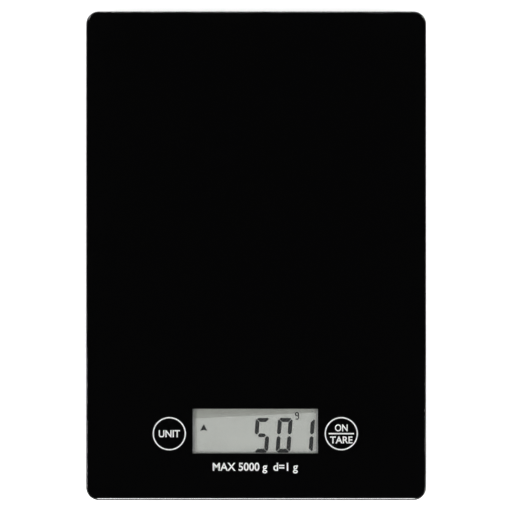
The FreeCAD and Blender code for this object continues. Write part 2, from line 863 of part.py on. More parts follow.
def battery_door():
    """A flush plate with a hinge barrel, its two trunnions, and grip grooves behind the latch."""
    half = door_width / 2
    plate = box(bay_x - half, bay_x + half, door_front, hinge_y, base_bottom, door_top)
    free_edges = [edge for edge in edges_at(plate, base_bottom) if edge.BoundBox.YMin < bay_y]
    plate = plate.makeChamfer(door_edge_break, free_edges)
    barrel = Part.makeCylinder(hinge_barrel_radius, door_width, V(bay_x - half, hinge_y, hinge_z), X)
    pin_half = half + door_clearance + hinge_pin_reach
    pins = Part.makeCylinder(hinge_pin_radius, 2 * pin_half, V(bay_x - pin_half, hinge_y, hinge_z), X)
    door = plate.fuse([barrel, pins]).removeSplitter()
    grooves = []
    for place in range(3):
        y = door_front + (2 * place + 3) * door_groove_width
        x0, x1 = bay_x - latch_width / 2, bay_x + latch_width / 2
        grooves.append(box(x0, x1, y, y + door_groove_width, base_bottom, base_bottom + door_groove_depth))
    return door.cut(grooves)


def battery_door_latch():
    """The bent tongue at the front of the door, with a nose that hooks over the edge of the floor."""
    bend_z = door_top + latch_leg_height
    bend_y = door_front - latch_bend_radius
    outer = latch_bend_radius + latch_thickness
    nose_bottom = floor_top + latch_nose_play
    inner_front = latch_front + latch_thickness
    tab_top = base_bottom + latch_tab_height
    steps = [
        (door_front + latch_thickness, door_top), (door_front + latch_thickness, bend_z),
        (bend_y, bend_z + outer, latch_front, bend_z),
        (latch_front - latch_nose, nose_bottom + latch_nose_height), (latch_front - latch_nose, nose_bottom),
        (latch_front, nose_bottom), (latch_front, base_bottom),
        (latch_front + latch_tab_length, base_bottom), (latch_front + latch_tab_length, tab_top),
        (inner_front, tab_top), (inner_front, bend_z),
        (bend_y, bend_z + latch_bend_radius, door_front, bend_z), (door_front, door_top),
    ]
    start = bay_x - latch_width / 2
    return prism(steps, lambda y, z: V(start, y, z), X * latch_width)


# ---------------------------------------------------------------- wires


def battery_wires():
    """Red from the positive strip and black from the negative one, both to the rear edge of the board."""
    red_end = V(bay_x - 10.0, board_rear, board_middle)
    black_end = V(bay_x - 14.0, board_rear, board_middle)
    red = [
        (bay_x, positive_end_y, contact_middle),
        (bay_x, positive_end_y - 9, contact_middle),
        (bay_x - 3.5, positive_end_y - 24, contact_middle - 1.1),
        (red_end.x + 1.8, red_end.y + 24, red_end.z - 2.0),
        (red_end.x, red_end.y + 10, red_end.z),
        tuple(red_end),
    ]
    black = [
        (negative_end_x, bay_y, contact_middle),
        (negative_end_x - 4.2, bay_y, contact_middle),
        (negative_end_x - 6.6, bay_y - 3.8, contact_middle - 0.2),
        (negative_end_x - 6.4, bay_y - 11, contact_middle - 0.5),
        (negative_end_x - 3.6, bay_y - 23, contact_middle - 0.9),
        (negative_end_x - 1.2, bay_y - 45, contact_middle - 0.8),
        (black_end.x - 1.6, black_end.y + 21, black_end.z - 1.9),
        (black_end.x, black_end.y + 9, black_end.z),
        tuple(black_end),
    ]
    return {"battery_wire_red": red, "battery_wire_black": black}


def gauge_wires():
    """Four thin wires, side by side, from the sealant to the rear edge of the board."""
    routes = {}
    level = beam_top + sealant_thickness / 2
    lowest_y = (board_rear + wire_rise - beam_eye_spacing / 2 - wire_fall) / 2
    for place, colour in enumerate(("red", "black", "green", "white")):
        across = place * wire_pitch
        start_y = across - beam_eye_spacing / 2
        lane = -beam_width / 2 - 4.2 - across
        end_x = lane + 2.2
        routes["gauge_wire_" + colour] = [
            (-sealant_width / 2, start_y, level),
            (lane, start_y, level),
            (lane - 0.8, start_y - wire_fall, level - 2.4),
            (lane + 0.2, lowest_y, level - 4.6),
            (end_x - 1.2, board_rear + wire_rise, board_middle - 1.9),
            (end_x, board_rear + 8.0, board_middle),
            (end_x, board_rear, board_middle),
        ]
    return routes


# ---------------------------------------------------------------- build

platform_pieces = [
    glass_platform, enamel_print, legend_print, adhesive_tape, platform_tray,
    tray_beam_spacer, tray_beam_screws,
    lcd_front_polarizer, lcd_front_glass, lcd_rear_glass, lcd_reflector, lcd_frame, zebra_strip,
    circuit_board, board_screws, controller_chip, board_capacitors, board_resistors, crystal,
    touch_spring_unit, touch_spring_tare,
]
base_pieces = [
    base_shell, load_cell, strain_gauges, gauge_sealant, base_beam_spacer, base_beam_screws,
    coin_cell, battery_contact_positive, battery_contact_negative,
]
door_pieces = [battery_door, battery_door_latch]

shapes = {piece.__name__: piece() for piece in platform_pieces + base_pieces + door_pieces}
for side, side_name in ((-1, "left"), (1, "right")):
    for end, end_name in ((-1, "front"), (1, "rear")):
        shapes[f"foot_{end_name}_{side_name}"] = foot(side * foot_x, end * foot_y)
for name, route in battery_wires().items():
    shapes[name] = wire_tube(name, route, battery_wire_radius)
for name, route in gauge_wires().items():
    shapes[name] = wire_tube(name, route, gauge_wire_radius)

os.makedirs("parts", exist_ok=True)
for name, shape in shapes.items():
    if not shape.isValid() or not shape.Solids:
        raise ValueError(f"{name} is not a valid solid")
    shape.exportStep(f"parts/{name}.step")
print(len(shapes), "pieces")
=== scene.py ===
# %% [markdown]
# # A slim glass kitchen scale
# The scale is one sheet of black glass on a shallow moulded housing. The housing, screws, board and battery
# bay come from the CAD model and keep their shape. Here they get their finishes, and the pieces that a bare
# model can't show are made: ground glass, fired print, the display's segments, and a beam cut across in
# steps.

# %% Load the imported model
import math

import bmesh
import bpy
from mathutils import Matrix, Vector


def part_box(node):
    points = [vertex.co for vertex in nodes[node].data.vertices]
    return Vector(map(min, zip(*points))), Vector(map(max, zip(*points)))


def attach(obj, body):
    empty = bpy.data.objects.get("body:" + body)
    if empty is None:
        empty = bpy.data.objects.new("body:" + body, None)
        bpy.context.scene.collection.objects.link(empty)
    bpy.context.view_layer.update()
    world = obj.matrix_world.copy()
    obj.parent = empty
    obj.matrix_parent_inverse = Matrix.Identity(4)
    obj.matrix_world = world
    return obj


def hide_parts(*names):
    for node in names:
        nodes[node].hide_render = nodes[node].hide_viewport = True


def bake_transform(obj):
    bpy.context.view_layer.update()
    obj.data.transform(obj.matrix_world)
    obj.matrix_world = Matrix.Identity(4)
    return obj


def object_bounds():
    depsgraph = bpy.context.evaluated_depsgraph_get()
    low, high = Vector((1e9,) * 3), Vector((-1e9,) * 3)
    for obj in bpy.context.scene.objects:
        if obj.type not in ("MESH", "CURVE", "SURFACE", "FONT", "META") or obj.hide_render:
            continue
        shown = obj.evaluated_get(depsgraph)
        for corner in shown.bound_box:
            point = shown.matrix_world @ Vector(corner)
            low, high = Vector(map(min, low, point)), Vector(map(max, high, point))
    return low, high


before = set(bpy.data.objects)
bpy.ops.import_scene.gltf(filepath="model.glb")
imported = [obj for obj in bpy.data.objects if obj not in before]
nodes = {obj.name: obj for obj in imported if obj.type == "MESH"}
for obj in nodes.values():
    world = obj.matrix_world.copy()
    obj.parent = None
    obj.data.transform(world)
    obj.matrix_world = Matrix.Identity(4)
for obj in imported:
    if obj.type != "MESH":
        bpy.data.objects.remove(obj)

cad_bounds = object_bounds()
mm = 0.001

# %% [markdown]
# ## Shader sums that read like sums
# A pattern in a material is arithmetic on noise. Wiring each sum by hand hides what it says, so a small
# class wraps a socket and lets Python's operators add the Math nodes. A second one holds a finish: it makes
# any node from its type, settings and values, and it owns the Principled shader that they feed.


# %% Signals and finishes
class Signal:
    """One number that a shader carries, ready for Python arithmetic."""

    def __init__(self, tree, socket):
        self.tree = tree
        self.socket = socket

    def math(self, operation, first, second):
        node = self.tree.nodes.new("ShaderNodeMath")
        node.operation = operation
        join(self.tree, node.inputs[0], first)
        join(self.tree, node.inputs[1], second)
        return Signal(self.tree, node.outputs[0])

    def __add__(self, other):
        return self.math("ADD", self, other)

    def __radd__(self, other):
        return self.math("ADD", other, self)

    def __rsub__(self, other):
        return self.math("SUBTRACT", other, self)

    def __mul__(self, other):
        return self.math("MULTIPLY", self, other)

    def __rmul__(self, other):
        return self.math("MULTIPLY", other, self)

    def __gt__(self, other):
        return self.math("GREATER_THAN", self, other)

    def __lt__(self, other):
        return self.math("LESS_THAN", self, other)


def join(tree, socket, value):
    """Puts a number or colour on a socket, or links a signal to it."""
    if isinstance(value, Signal):
        tree.links.new(value.socket, socket)
    elif hasattr(socket.default_value, "__len__") and len(socket.default_value) == 4 and len(value) == 3:
        socket.default_value = (*value, 1.0)
    else:
        socket.default_value = value


class Finish:
    """A material with one Principled shader, and the nodes that feed it."""

    def __init__(self, name, **plain):
        self.material = bpy.data.materials.new(name)
        self.material.use_nodes = True
        self.tree = self.material.node_tree
        self.shader = self.tree.nodes["Principled BSDF"]
        self.place = self.node("ShaderNodeTexCoord", {}, {}, "Object")
        for words, value in plain.items():
            self.feed(words.replace("_", " ").title(), value)

    def node(self, kind, settings, values, output=0):
        """Any node, from its type, its settings, and the values or links of its sockets."""
        made = self.tree.nodes.new(kind)
        for name, setting in settings.items():
            setattr(made, name, setting)
        for name, value in values.items():
            join(self.tree, made.inputs[name], value)
        return Signal(self.tree, made.outputs[output])

    def feed(self, socket, value):
        """Sets or links one socket of the finish's shader."""
        names = {"Ior": "IOR", "Specular Ior Level": "Specular IOR Level"}
        join(self.tree, self.shader.inputs[names.get(socket, socket)], value)

    def noise(self, size_mm, detail=2.0, stretch=(1.0, 1.0, 1.0)):
        """Soft noise with blobs about this many millimetres across, drawn out along an axis if asked."""
        spot = self.node("ShaderNodeMapping", {}, {"Vector": self.place, "Scale": stretch})
        values = {"Vector": spot, "Scale": 1.0 / (size_mm * mm), "Detail": detail}
        return self.node("ShaderNodeTexNoise", {}, values, "Fac")

    def along(self, axis):
        """How far along X, Y or Z a point of the piece lies, in metres."""
        return self.node("ShaderNodeSeparateXYZ", {}, {"Vector": self.place}, axis)

    def mix(self, share, dark, light):
        """A colour between two, by a share from 0 to 1."""
        colour_a, colour_b, colour_out = 6, 7, 2
        made = self.tree.nodes.new("ShaderNodeMix")
        made.data_type = "RGBA"
        join(self.tree, made.inputs["Factor"], share)
        join(self.tree, made.inputs[colour_a], dark)
        join(self.tree, made.inputs[colour_b], light)
        return Signal(self.tree, made.outputs[colour_out])

    def give_way(self, share, other):
        """Lets another shader take the place of the Principled one, by a share from 0 to 1."""
        either = self.tree.nodes.new("ShaderNodeMixShader")
        join(self.tree, either.inputs[0], share)
        self.tree.links.new(self.shader.outputs[0], either.inputs[1])
        self.tree.links.new(other.socket, either.inputs[2])
        self.tree.links.new(either.outputs[0], self.tree.nodes["Material Output"].inputs[0])

    def relief(self, height, depth_mm, strength=1.0):
        """Bump from a height signal, this many millimetres deep."""
        values = {"Height": height, "Distance": depth_mm * mm, "Strength": strength}
        self.feed("Normal", self.node("ShaderNodeBump", {}, values, "Normal"))


# %% [markdown]
# ## Camera and light
# The scale is seen from straight above, from far off through a long lens, so there is next to no
# perspective. Glass shows whatever it mirrors. The sky right over it is therefore dark, so that the glass
# reads black from above, and the sky is pale all round the horizon, so that its edges and any low view get a
# clean soft reflection. The sky and three round lamps light the print and the floor.

# %% Camera
low, high = cad_bounds
lens_mm = 200.0
sensor_mm = 36.0
frame_share = 1.505
off_centre_x, off_centre_y = -0.07 * mm, -0.13 * mm
frame_width = frame_share * (high[0] - low[0])
camera_data = bpy.data.cameras.new("camera")
camera_data.lens = lens_mm
camera_data.sensor_width = sensor_mm
camera_data.clip_end = 20.0
camera = bpy.data.objects.new("camera", camera_data)
camera.location = (off_centre_x, off_centre_y, high[2] + frame_width * lens_mm / sensor_mm)
bpy.context.scene.collection.objects.link(camera)
bpy.context.scene.camera = camera
bpy.context.scene.view_settings.view_transform = "Standard"
print("camera", round(camera.location.z, 3), "m above the table")

# %% World that is dark overhead and pale at the horizon
world = bpy.data.worlds.new("studio")
world.use_nodes = True
bpy.context.scene.world = world
sky = world.node_tree
background = sky.nodes["Background"]
facing = sky.nodes.new("ShaderNodeTexCoord")
upward = sky.nodes.new("ShaderNodeSeparateXYZ")
ramp = sky.nodes.new("ShaderNodeValToRGB")
sky.links.new(facing.outputs["Generated"], upward.inputs[0])
rise = Signal(sky, upward.outputs["Z"]) * 0.5 + 0.5
sky.links.new(rise.socket, ramp.inputs[0])
sky.links.new(ramp.outputs[0], background.inputs[0])
stops = ((0.0, 0.9), (0.49, 0.9), (0.51, 1.0), (0.86, 1.0), (0.95, 0.004))
sky_strength = 0.65
while len(ramp.color_ramp.elements) < len(stops):
    ramp.color_ramp.elements.new(0.5)
for element, (position, level) in zip(ramp.color_ramp.elements, stops):
    element.position = position
    element.color = (level, level, level, 1.0)
background.inputs[1].default_value = sky_strength
print(len(stops), "levels in the sky")

# %% Lamps: one high on the left, one high on the right, and a weaker one behind
lamp_size = 0.6
lamps = (
    ("left_box", (-0.80, -0.35, 1.25), 4.8),
    ("right_box", (0.80, -0.40, 1.25), 4.4),
    ("rear_box", (0.05, 0.95, 1.25), 3.0),
)
for name, place, power in lamps:
    lamp_data = bpy.data.lights.new(name, "AREA")
    lamp_data.shape = "DISK"
    lamp_data.size = lamp_size
    lamp_data.energy = power
    lamp = bpy.data.objects.new(name, lamp_data)
    lamp.location = place
    lamp.rotation_euler = (-Vector(place)).to_track_quat("-Z", "Y").to_euler()
    bpy.context.scene.collection.objects.link(lamp)
print(len(lamps), "lamps")

# %% [markdown]
# ## Floor
# A plain pale tabletop. It glows by itself, as a light table does, and so stays evenly pale round a black
# object. It shows only its top face, so the underside of the scale can be looked at from below.

# %% Floor
floor_reach = 2.5
floor_glow = 0.62
bm = bmesh.new()
bmesh.ops.create_grid(bm, x_segments=1, y_segments=1, size=floor_reach)
floor_mesh = bpy.data.meshes.new("floor")
bm.to_mesh(floor_mesh)
bm.free()
floor = bpy.data.objects.new("floor", floor_mesh)
bpy.context.scene.collection.objects.link(floor)
table_top = Finish("table_top", base_color=(0.90, 0.90, 0.90), roughness=0.9)
table_top.feed("Emission Color", (1.0, 1.0, 1.0))
table_top.feed("Emission Strength", floor_glow)
backing = table_top.node("ShaderNodeNewGeometry", {}, {}, "Backfacing")
table_top.give_way(backing, table_top.node("ShaderNodeBsdfTransparent", {}, {}))
floor_mesh.materials.append(table_top.material)
print("floor", 2 * floor_reach, "m across")

# %% [markdown]
# ## Helpers for making pieces
# A new piece starts as a cube, a face, a line of text or a copy of a CAD piece, and is shaped with bmesh
# operators. It ends as an object at the origin, with its place in its mesh. It rides on one body of the
# model, or on none.

# %% Small lengths and angles that the helpers share
hair = 1e-7
weld_reach = 1e-6
crease_degrees = 35.0
rim_degrees = 60.0
print("edges steeper than", crease_degrees, "degrees stay sharp")


# %% Making and finishing a piece
def bevel(bm, edges, width, steps):
    """Rounds edges off, in this many steps."""
    shape = {"profile": 0.5, "affect": "EDGES", "material": -1, "clamp_overlap": True}
    bmesh.ops.bevel(bm, geom=edges, offset=width, segments=steps, **shape)


def slice_at(bm, point, normal):
    """Cuts every face that a plane meets, and keeps both sides."""
    everything = list(bm.verts) + list(bm.edges) + list(bm.faces)
    bmesh.ops.bisect_plane(bm, geom=everything, plane_co=point, plane_no=normal, dist=hair)


def crease(bm, sharp_degrees=crease_degrees):
    """Smooth faces, with a crease wherever two of them meet at a steep angle."""
    for face in bm.faces:
        face.smooth = True
    for edge in bm.edges:
        edge.smooth = len(edge.link_faces) == 2 and edge.calc_face_angle() < math.radians(sharp_degrees)


def shade(bm, sharp_degrees=crease_degrees):
    """Turns every face outwards and creases the steep edges."""
    bmesh.ops.recalc_face_normals(bm, faces=bm.faces)
    crease(bm, sharp_degrees)


def piece(name, bm, finish, body=None, replaces=()):
    """Turns a bmesh into a piece of the scale. A piece with no body rides on none."""
    mesh = bpy.data.meshes.new(name)
    bm.to_mesh(mesh)
    bm.free()
    mesh.materials.append(finish.material)
    made = bpy.data.objects.new(name, mesh)
    bpy.context.scene.collection.objects.link(made)
    if body:
        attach(made, body)
    if replaces:
        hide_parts(*replaces)
    print(name, len(mesh.polygons), "faces")
    return made


def plate(bm, low, high, corner=0.0, edge=0.0, corner_steps=16, edge_steps=5):
    """Adds a flat plate between two corners, with rounded corners in plan and a rounded rim."""
    made = bmesh.ops.create_cube(bm, size=1.0)["verts"]
    bmesh.ops.scale(bm, vec=Vector(high) - Vector(low), verts=made)
    bmesh.ops.translate(bm, vec=(Vector(low) + Vector(high)) / 2, verts=made)
    if corner:
        touching = {e for v in made for e in v.link_edges}
        upright = [e for e in touching if abs(e.verts[0].co.z - e.verts[1].co.z) > hair]
        bevel(bm, upright, corner, corner_steps)
    if edge:
        steep = math.radians(rim_degrees)
        rim = [e for e in bm.edges if len(e.link_faces) == 2 and e.calc_face_angle() > steep]
        bevel(bm, rim, edge, edge_steps)


# %% [markdown]
# ## Glass
# The platform is 4 mm tempered glass, ground round its rim to a soft pencil edge. It could be one clear
# solid, but lamps can't be sampled through bent light, so what lies under it would go dark. The usual cure
# is used: for shadow rays the glass is plain transparent, and for every other ray it is real glass with a
# slight green body. A shadow ray crosses two faces of a slab, so each takes the square root of the tint. The
# underside reaches down over the legend and just into the enamel. The prints are fused to the glass, so no
# air may lie between them, or a low view would see each ring several times over.


# %% Glass finishes
def clear_glass(name, tint, roughness, smear):
    """Real glass to the eye, transparent to lamps, with a faint unevenness in its polish."""
    glass = Finish(name, base_color=tint, ior=1.5, transmission_weight=1.0, specular_ior_level=0.5)
    haze = glass.noise(35.0, 3.0)
    glass.feed("Roughness", roughness + smear * haze)
    shadow = glass.node("ShaderNodeLightPath", {}, {}, "Is Shadow Ray")
    once = tuple(math.sqrt(level) for level in tint)
    glass.give_way(shadow, glass.node("ShaderNodeBsdfTransparent", {}, {"Color": once}))
    return glass


platform_glass = clear_glass("platform_glass", (0.985, 0.992, 0.988), 0.004, 0.006)
display_glass = clear_glass("display_glass", (0.988, 0.992, 0.988), 0.006, 0.008)
polarizer_film = clear_glass("polarizer_film", (0.955, 0.962, 0.950), 0.05, 0.04)
# The darker tint is painted shade: it dims a band at the rear of the polarizer in place of the shadow under
# the window's rear edge.
painted_shade_band = clear_glass("painted_shade_band", (0.80, 0.806, 0.785), 0.05, 0.04)

# %% Glass platform with its ground rim
glass_low, glass_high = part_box("glass_platform")
legend_low, legend_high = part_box("legend_print")
print_bite = 0.01 * mm
glass_low.z = legend_low.z - print_bite
glass_corner = 6.0 * mm
ground_rim = 0.8 * mm
bm = bmesh.new()
plate(bm, glass_low, glass_high, glass_corner, ground_rim, corner_steps=20, edge_steps=6)
shade(bm, sharp_degrees=50.0)
piece("glass_sheet", bm, platform_glass, "platform", ["glass_platform"])

# %% [markdown]
# ## Fired print
# Black enamel covers the back of the glass and stops at a clear window. It is a thin plate here. Four cuts
# mark out the window, the two panes inside them are deleted, and the open edges are bridged, so the edge of
# the window has the thickness of the print. The coat runs a fraction of a millimetre past the CAD print, on
# to the ground rim. The white legend sits between the enamel and the glass.

# %% Print finishes
black_enamel = Finish("black_enamel", roughness=0.5, specular_ior_level=0.02)
pinholes = black_enamel.noise(0.9, 4.0)
deep_black, worn_black = (0.0002, 0.0002, 0.0003), (0.0006, 0.0006, 0.0007)
black_enamel.feed("Base Color", black_enamel.mix(pinholes, deep_black, worn_black))
black_enamel.relief(pinholes, 0.01, 0.4)

white_enamel = Finish("white_enamel", roughness=0.45)
screen_mesh = white_enamel.noise(0.25, 2.0)
white_enamel.feed("Base Color", white_enamel.mix(screen_mesh, (0.88, 0.88, 0.875), (0.94, 0.94, 0.935)))
white_enamel.relief(screen_mesh, 0.01, 0.5)

# %% Enamel coat with its window
coat_low, coat_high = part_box("enamel_print")
film_low, film_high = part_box("lcd_front_polarizer")
display = (film_low + film_high) / 2
window = Vector((59.0 * mm, 21.0 * mm, 0))
coat_corner = 4.4 * mm
spread_left, spread_right, spread_front, spread_rear = 0.2 * mm, 0.55 * mm, 0.35 * mm, 0.1 * mm
bm = bmesh.new()
coat_from = coat_low - Vector((spread_left, spread_front, 0))
coat_to = Vector((coat_high.x + spread_right, coat_high.y + spread_rear, legend_low.z))
plate(bm, coat_from, coat_to, coat_corner)
across, along = Vector((1, 0, 0)), Vector((0, 1, 0))
for side in (-1, 1):
    slice_at(bm, across * (display.x + side * window.x / 2), across)
    slice_at(bm, along * (display.y + side * window.y / 2), along)


def in_window(face):
    """Whether a face is a level one whose middle lies in the window."""
    margin = 0.01 * mm
    middle = face.calc_center_median() - display
    level = abs(face.normal.z) > 0.9
    return level and abs(middle.x) < window.x / 2 - margin and abs(middle.y) < window.y / 2 - margin


panes = [f for f in bm.faces if in_window(f)]
bmesh.ops.delete(bm, geom=panes, context="FACES")
open_edges = [e for e in bm.edges if len(e.link_faces) == 1]
bmesh.ops.bridge_loops(bm, edges=open_edges)
shade(bm)
piece("enamel_coat", bm, black_enamel, "platform", ["enamel_print"])


# %% [markdown]
# ## Lettering
# The words on the keys and the capacity line are plain instrument lettering in Blender's own face. A text
# object is made a mesh first. Its capitals are then scaled to their printed height and the line to its
# printed width, and only then is it moved to its place.

# %% Measures of the print
print_z = legend_low.z + 0.005 * mm
print_thickness = 0.035 * mm
stroke_weight = 0.02
half_depth = 0.5
print("print", round(print_thickness / mm, 3), "mm thick")


# %% A printed line
def lettering(bm, words, cap_height, width, centre_x, baseline):
    """Adds one line of raised print: capitals of a given height, the line stretched to a given width."""
    letters = {}
    for text in ("H", words):
        curve = bpy.data.curves.new("line", "FONT")
        curve.body = text
        curve.size = 1.0
        curve.offset = stroke_weight
        curve.extrude = half_depth
        curve.resolution_u = 6
        writer = bpy.data.objects.new("line", curve)
        bpy.context.scene.collection.objects.link(writer)
        bpy.context.view_layer.update()
        letters[text] = bpy.data.meshes.new_from_object(writer)
        bpy.data.objects.remove(writer)
    capital = max(v.co.y for v in letters["H"].vertices)
    spots = [v.co.x for v in letters[words].vertices]
    before = len(bm.verts)
    bm.from_mesh(letters[words])
    new = bm.verts[:][before:]
    bmesh.ops.translate(bm, vec=(-(min(spots) + max(spots)) / 2, 0, half_depth), verts=new)
    scale = (width / (max(spots) - min(spots)), cap_height / capital, print_thickness)
    bmesh.ops.scale(bm, vec=scale, verts=new)
    bmesh.ops.translate(bm, vec=(centre_x, baseline, print_z), verts=new)


# %% Words in the key rings and the capacity line
ring = 7.85 * mm
unit_key = Vector((legend_low.x + ring, (legend_low.y + legend_high.y) / 2, 0))
tare_key = Vector((legend_high.x - ring, unit_key.y, 0))
key_lines = (
    ("UNIT", 3.3 * mm, 10.0 * mm, unit_key.x, unit_key.y - 1.6 * mm),
    ("ON", 3.2 * mm, 6.0 * mm, tare_key.x, tare_key.y + 1.2 * mm),
    ("TARE", 3.2 * mm, 10.6 * mm, tare_key.x, tare_key.y - 4.5 * mm),
)
capacity_lines = (("MAX 5000 g  d=1 g", 3.7 * mm, 40.1 * mm, display.x, display.y - 18.6 * mm),)
for name, lines in (("key_words", key_lines), ("capacity_line", capacity_lines)):
    bm = bmesh.new()
    for words, cap_height, width, centre_x, baseline in lines:
        lettering(bm, words, cap_height, width, centre_x, baseline)
    bmesh.ops.remove_doubles(bm, verts=bm.verts, dist=hair)
    shade(bm)
    piece(name, bm, white_enamel, "platform")

# %% [markdown]
# ## Display
# A reflective liquid crystal display is a sandwich: polarizer, glass, a film of liquid crystal, glass, and a
# pearly reflector. Each glass keeps its place in the model, apart from a hair of air under it. The dark
# figures could stand between the glasses, but then every lamp prints a second, shifted reading on the
# reflector. They lie right over the reflector instead, where the reading stays single and sharp.

# %% Display finishes
reflector_film = Finish("reflector_film", roughness=0.42, specular_ior_level=0.3)
pearl = reflector_film.noise(0.35, 3.0)
cloud = reflector_film.noise(18.0, 2.0)
shine = 0.6 * pearl + 0.4 * cloud
reflector_film.feed("Base Color", reflector_film.mix(shine, (0.775, 0.765, 0.755), (0.835, 0.825, 0.815)))
reflector_film.relief(pearl, 0.01, 0.6)

segment_ink = Finish("segment_ink", roughness=0.35)
clouding = segment_ink.noise(2.5, 2.0)
segment_ink.feed("Base Color", segment_ink.mix(clouding, (0.040, 0.041, 0.044), (0.052, 0.053, 0.057)))

seal_line = Finish("seal_line", roughness=0.6)
filler = seal_line.noise(0.3, 3.0)
seal_line.feed("Base Color", seal_line.mix(filler, (0.34, 0.34, 0.34), (0.42, 0.42, 0.415)))
seal_line.relief(filler, 0.01, 0.5)

# %% Display glasses, and the polarizer with a darker band along its rear: painted shade, a tinted band with its edge set a little askew, standing in for the shadow under the window's rear edge
film_gap = 0.05 * mm
pane_corner, pane_edge = 0.3 * mm, 0.12 * mm
for name, node in (("display_front_glass", "lcd_front_glass"), ("display_rear_glass", "lcd_rear_glass")):
    below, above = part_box(node)
    bm = bmesh.new()
    plate(bm, below + Vector((0, 0, film_gap)), above, pane_corner, pane_edge, corner_steps=3, edge_steps=1)
    shade(bm)
    piece(name, bm, display_glass, "platform", [node])

polarizer_gap, polarizer_corner = 0.01 * mm, 0.6 * mm
band_slope = math.radians(2.8)
band_start = 7.3 * mm
bm = bmesh.new()
plate(bm, film_low + Vector((0, 0, polarizer_gap)), film_high, polarizer_corner, corner_steps=4)
band_edge = Vector((display.x, display.y + band_start, 0))
band_away = Vector((-math.sin(band_slope), math.cos(band_slope), 0))
slice_at(bm, band_edge, band_away)
# Faces behind the slanted cut take the darker tint, a painted shadow along the rear of the window.
for face in bm.faces:
    face.material_index = int((face.calc_center_median() - band_edge).dot(band_away) > 0)
shade(bm)
film_node = "lcd_front_polarizer"
polarizer = piece("display_polarizer", bm, polarizer_film, "platform", [film_node])
polarizer.data.materials.append(painted_shade_band.material)

# %% Perimeter seal: the grey line that closes the cell round its edge
rear_low, rear_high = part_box("lcd_rear_glass")
seal_lift, seal_thickness = 0.01 * mm, 0.03 * mm
seal_inset = 0.4 * mm
narrowest_side, opening_half_depth = 0.6 * mm, 12.2 * mm
bm = bmesh.new()
made = bmesh.ops.create_grid(bm, x_segments=1, y_segments=1, size=0.5)["verts"]
seal_size = Vector((rear_high.x - rear_low.x - seal_inset, rear_high.y - rear_low.y - seal_inset, 1))
bmesh.ops.scale(bm, vec=seal_size, verts=made)
seal_z = rear_high.z + seal_lift
seal_middle = Vector(((rear_low.x + rear_high.x) / 2, (rear_low.y + rear_high.y) / 2, seal_z))
bmesh.ops.translate(bm, vec=seal_middle, verts=made)
seal_width = (seal_size.x - (film_high.x - film_low.x)) / 2
bmesh.ops.inset_region(bm, faces=bm.faces[:], thickness=seal_width, use_boundary=True, use_even_offset=True)
inner_face = min(bm.faces, key=lambda f: (f.calc_center_median() - seal_middle).length)
inner_half_depth = max(abs(v.co.y - seal_middle.y) for v in inner_face.verts)
wanted_half_depth = min(abs(seal_size.y) / 2 - narrowest_side, opening_half_depth)
deepen = (1, wanted_half_depth / inner_half_depth, 1)
around = Matrix.Translation(-seal_middle)
bmesh.ops.scale(bm, vec=deepen, space=around, verts=inner_face.verts[:])
bmesh.ops.translate(bm, vec=(display.x, 0, 0), verts=inner_face.verts[:])
bmesh.ops.delete(bm, geom=[inner_face], context="FACES")
bmesh.ops.solidify(bm, geom=bm.faces[:], thickness=seal_thickness)
shade(bm)
piece("display_seal", bm, seal_line, "platform")

# %% [markdown]
# ## Digits
# A seven-segment figure is a rectangle of bars with mitred ends. Each bar starts as one face and is cut
# along its mitre lines with a plane, like wood with a mitre saw. The figures are then leaned over together,
# the pointer and the unit sign are added upright, and all of it is raised to thin solids.

# %% Measures of a figure
digit_width, digit_height, digit_pitch = 6.95 * mm, 16.4 * mm, 10.5 * mm
bar_width, bar_gap = 1.9 * mm, 0.30 * mm
corner_cut, waist_gap, waist_reach = 1.2 * mm, 0.45 * mm, 1.5 * mm
tip_share, waist_share = 0.1, 0.45
cut_reach = 1e-8
print("figures", round(digit_height / mm, 1), "mm tall")


# %% One bar, cut to its mitres
def bar(bm, low_x, low_y, high_x, high_y, mitres):
    """One flat bar. Each mitre is a point and the direction that is cut away."""
    corners = ((low_x, low_y), (high_x, low_y), (high_x, high_y), (low_x, high_y))
    face = bm.faces.new([bm.verts.new((x, y, 0)) for x, y in corners])
    for point, away in mitres:
        geom = [face] + list(face.edges) + list(face.verts)
        others = set(bm.faces) - {face}
        plane = {"plane_co": (*point, 0), "plane_no": Vector((*away, 0)).normalized()}
        bmesh.ops.bisect_plane(bm, geom=geom, dist=cut_reach, clear_outer=True, **plane)
        face = (set(bm.faces) - others).pop()


def figure(bm, lit, left, bottom):
    """One seven-segment figure. Its bars are a to f, clockwise from the top, and g across the middle."""
    w, h, t = digit_width, digit_height, bar_width
    slit, waist = bar_gap / 2, h / 2
    tip, blunt = h - (waist - tip_share * t), h - (waist - waist_gap)
    reach, half = waist_reach, t * waist_share
    top_cuts = [((corner_cut, h), (-1, 1)), ((w - corner_cut, h), (1, 1))]
    top_cuts += [((slit, h), (-1, -1)), ((w - slit, h), (1, -1))]
    side_cuts = [((0, h - corner_cut), (-1, 1)), ((0, h - slit), (1, 1))]
    side_cuts += [((t / 2, tip), (-1, -1)), ((t / 2, tip), (1, -1))]
    waist_cuts = [((reach, waist), (-1, a)) for a in (-1, 1)]
    waist_cuts += [((w - reach, waist), (1, a)) for a in (-1, 1)]
    bars = {
        "a": (0, h - t, w, h, top_cuts),
        "f": (0, blunt, t, h, side_cuts),
        "g": (reach, waist - half, w - reach, waist + half, waist_cuts),
    }
    bars["d"] = turned(bars["a"], w, h, False, True)
    bars["b"] = turned(bars["f"], w, h, True, False)
    bars["e"] = turned(bars["f"], w, h, False, True)
    bars["c"] = turned(bars["f"], w, h, True, True)
    for name in lit:
        x0, y0, x1, y1, mitres = bars[name]
        placed = [((x + left, y + bottom), away) for (x, y), away in mitres]
        bar(bm, x0 + left, y0 + bottom, x1 + left, y1 + bottom, placed)


